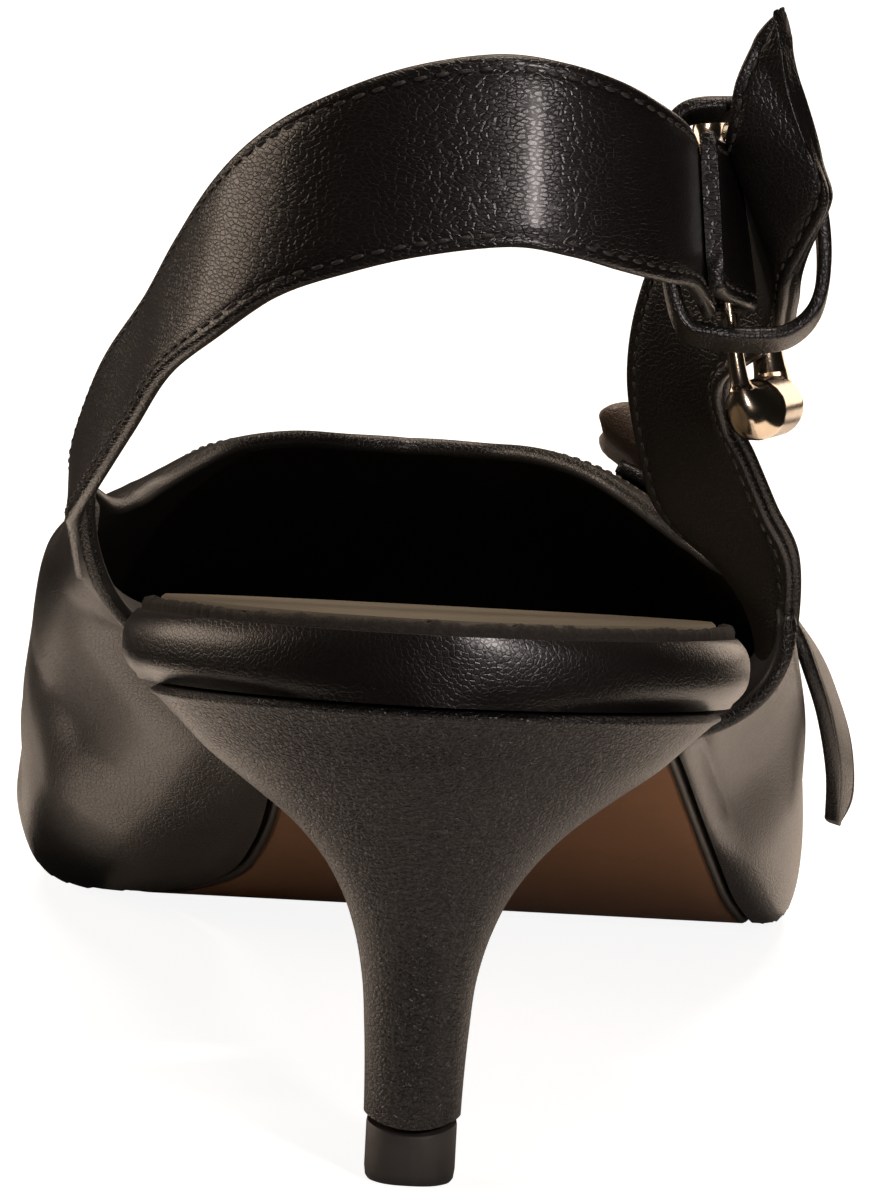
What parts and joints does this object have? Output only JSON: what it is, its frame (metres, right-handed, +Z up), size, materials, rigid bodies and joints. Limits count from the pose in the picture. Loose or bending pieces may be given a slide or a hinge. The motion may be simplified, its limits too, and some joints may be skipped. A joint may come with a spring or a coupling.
{
  "type": "slingback pump",
  "caption": "Pointed slingback pump with a low flared heel, a sling strap with a side buckle and keeper loop, and a small leather bow on the outer side.",
  "frame": {"origin": "centre of the heel tip's ground face, on the floor", "axes": "+Y towards the toe, +X to the outer (buckle) side of this right shoe, +Z up"},
  "size_m": [0.0877, 0.2575, 0.1117],
  "materials": {
    "outsole": "smooth tan sole leather, black edge, satin",
    "insole": "matt olive-beige sock leather",
    "heel_rand": "black covering leather, soft gloss, raw cut edge on top",
    "heel": "black covering leather over a moulded core, soft gloss",
    "heel_tip": "dark grey, satin",
    "upper": "black smooth leather with a fine grain, soft gloss, black lining",
    "sling_strap": "black smooth leather, stitched along both edges",
    "quarter_strap": "black smooth leather, double layer, raw cut edge",
    "keeper_loop": "black folded leather",
    "buckle_frame": "polished pale gold plating",
    "buckle_prong": "polished pale gold plating",
    "vamp_band": "black smooth leather",
    "bow_loop": "black smooth leather",
    "bow_tail": "black smooth leather"
  },
  "bodies": {
    "root": {"outsole": "outsole", "insole": "insole", "heel_rand": "heel_rand", "heel": "heel", "heel_tip": "heel_tip", "upper": "upper", "sling_strap": "sling_strap", "quarter_strap": "quarter_strap", "keeper_loop": "keeper_loop", "buckle_frame": "buckle_frame", "buckle_prong": "buckle_prong", "vamp_band": "vamp_band", "bow_loop": "bow_loop", "bow_tail": "bow_tail"}
  },
  "joints": []
}
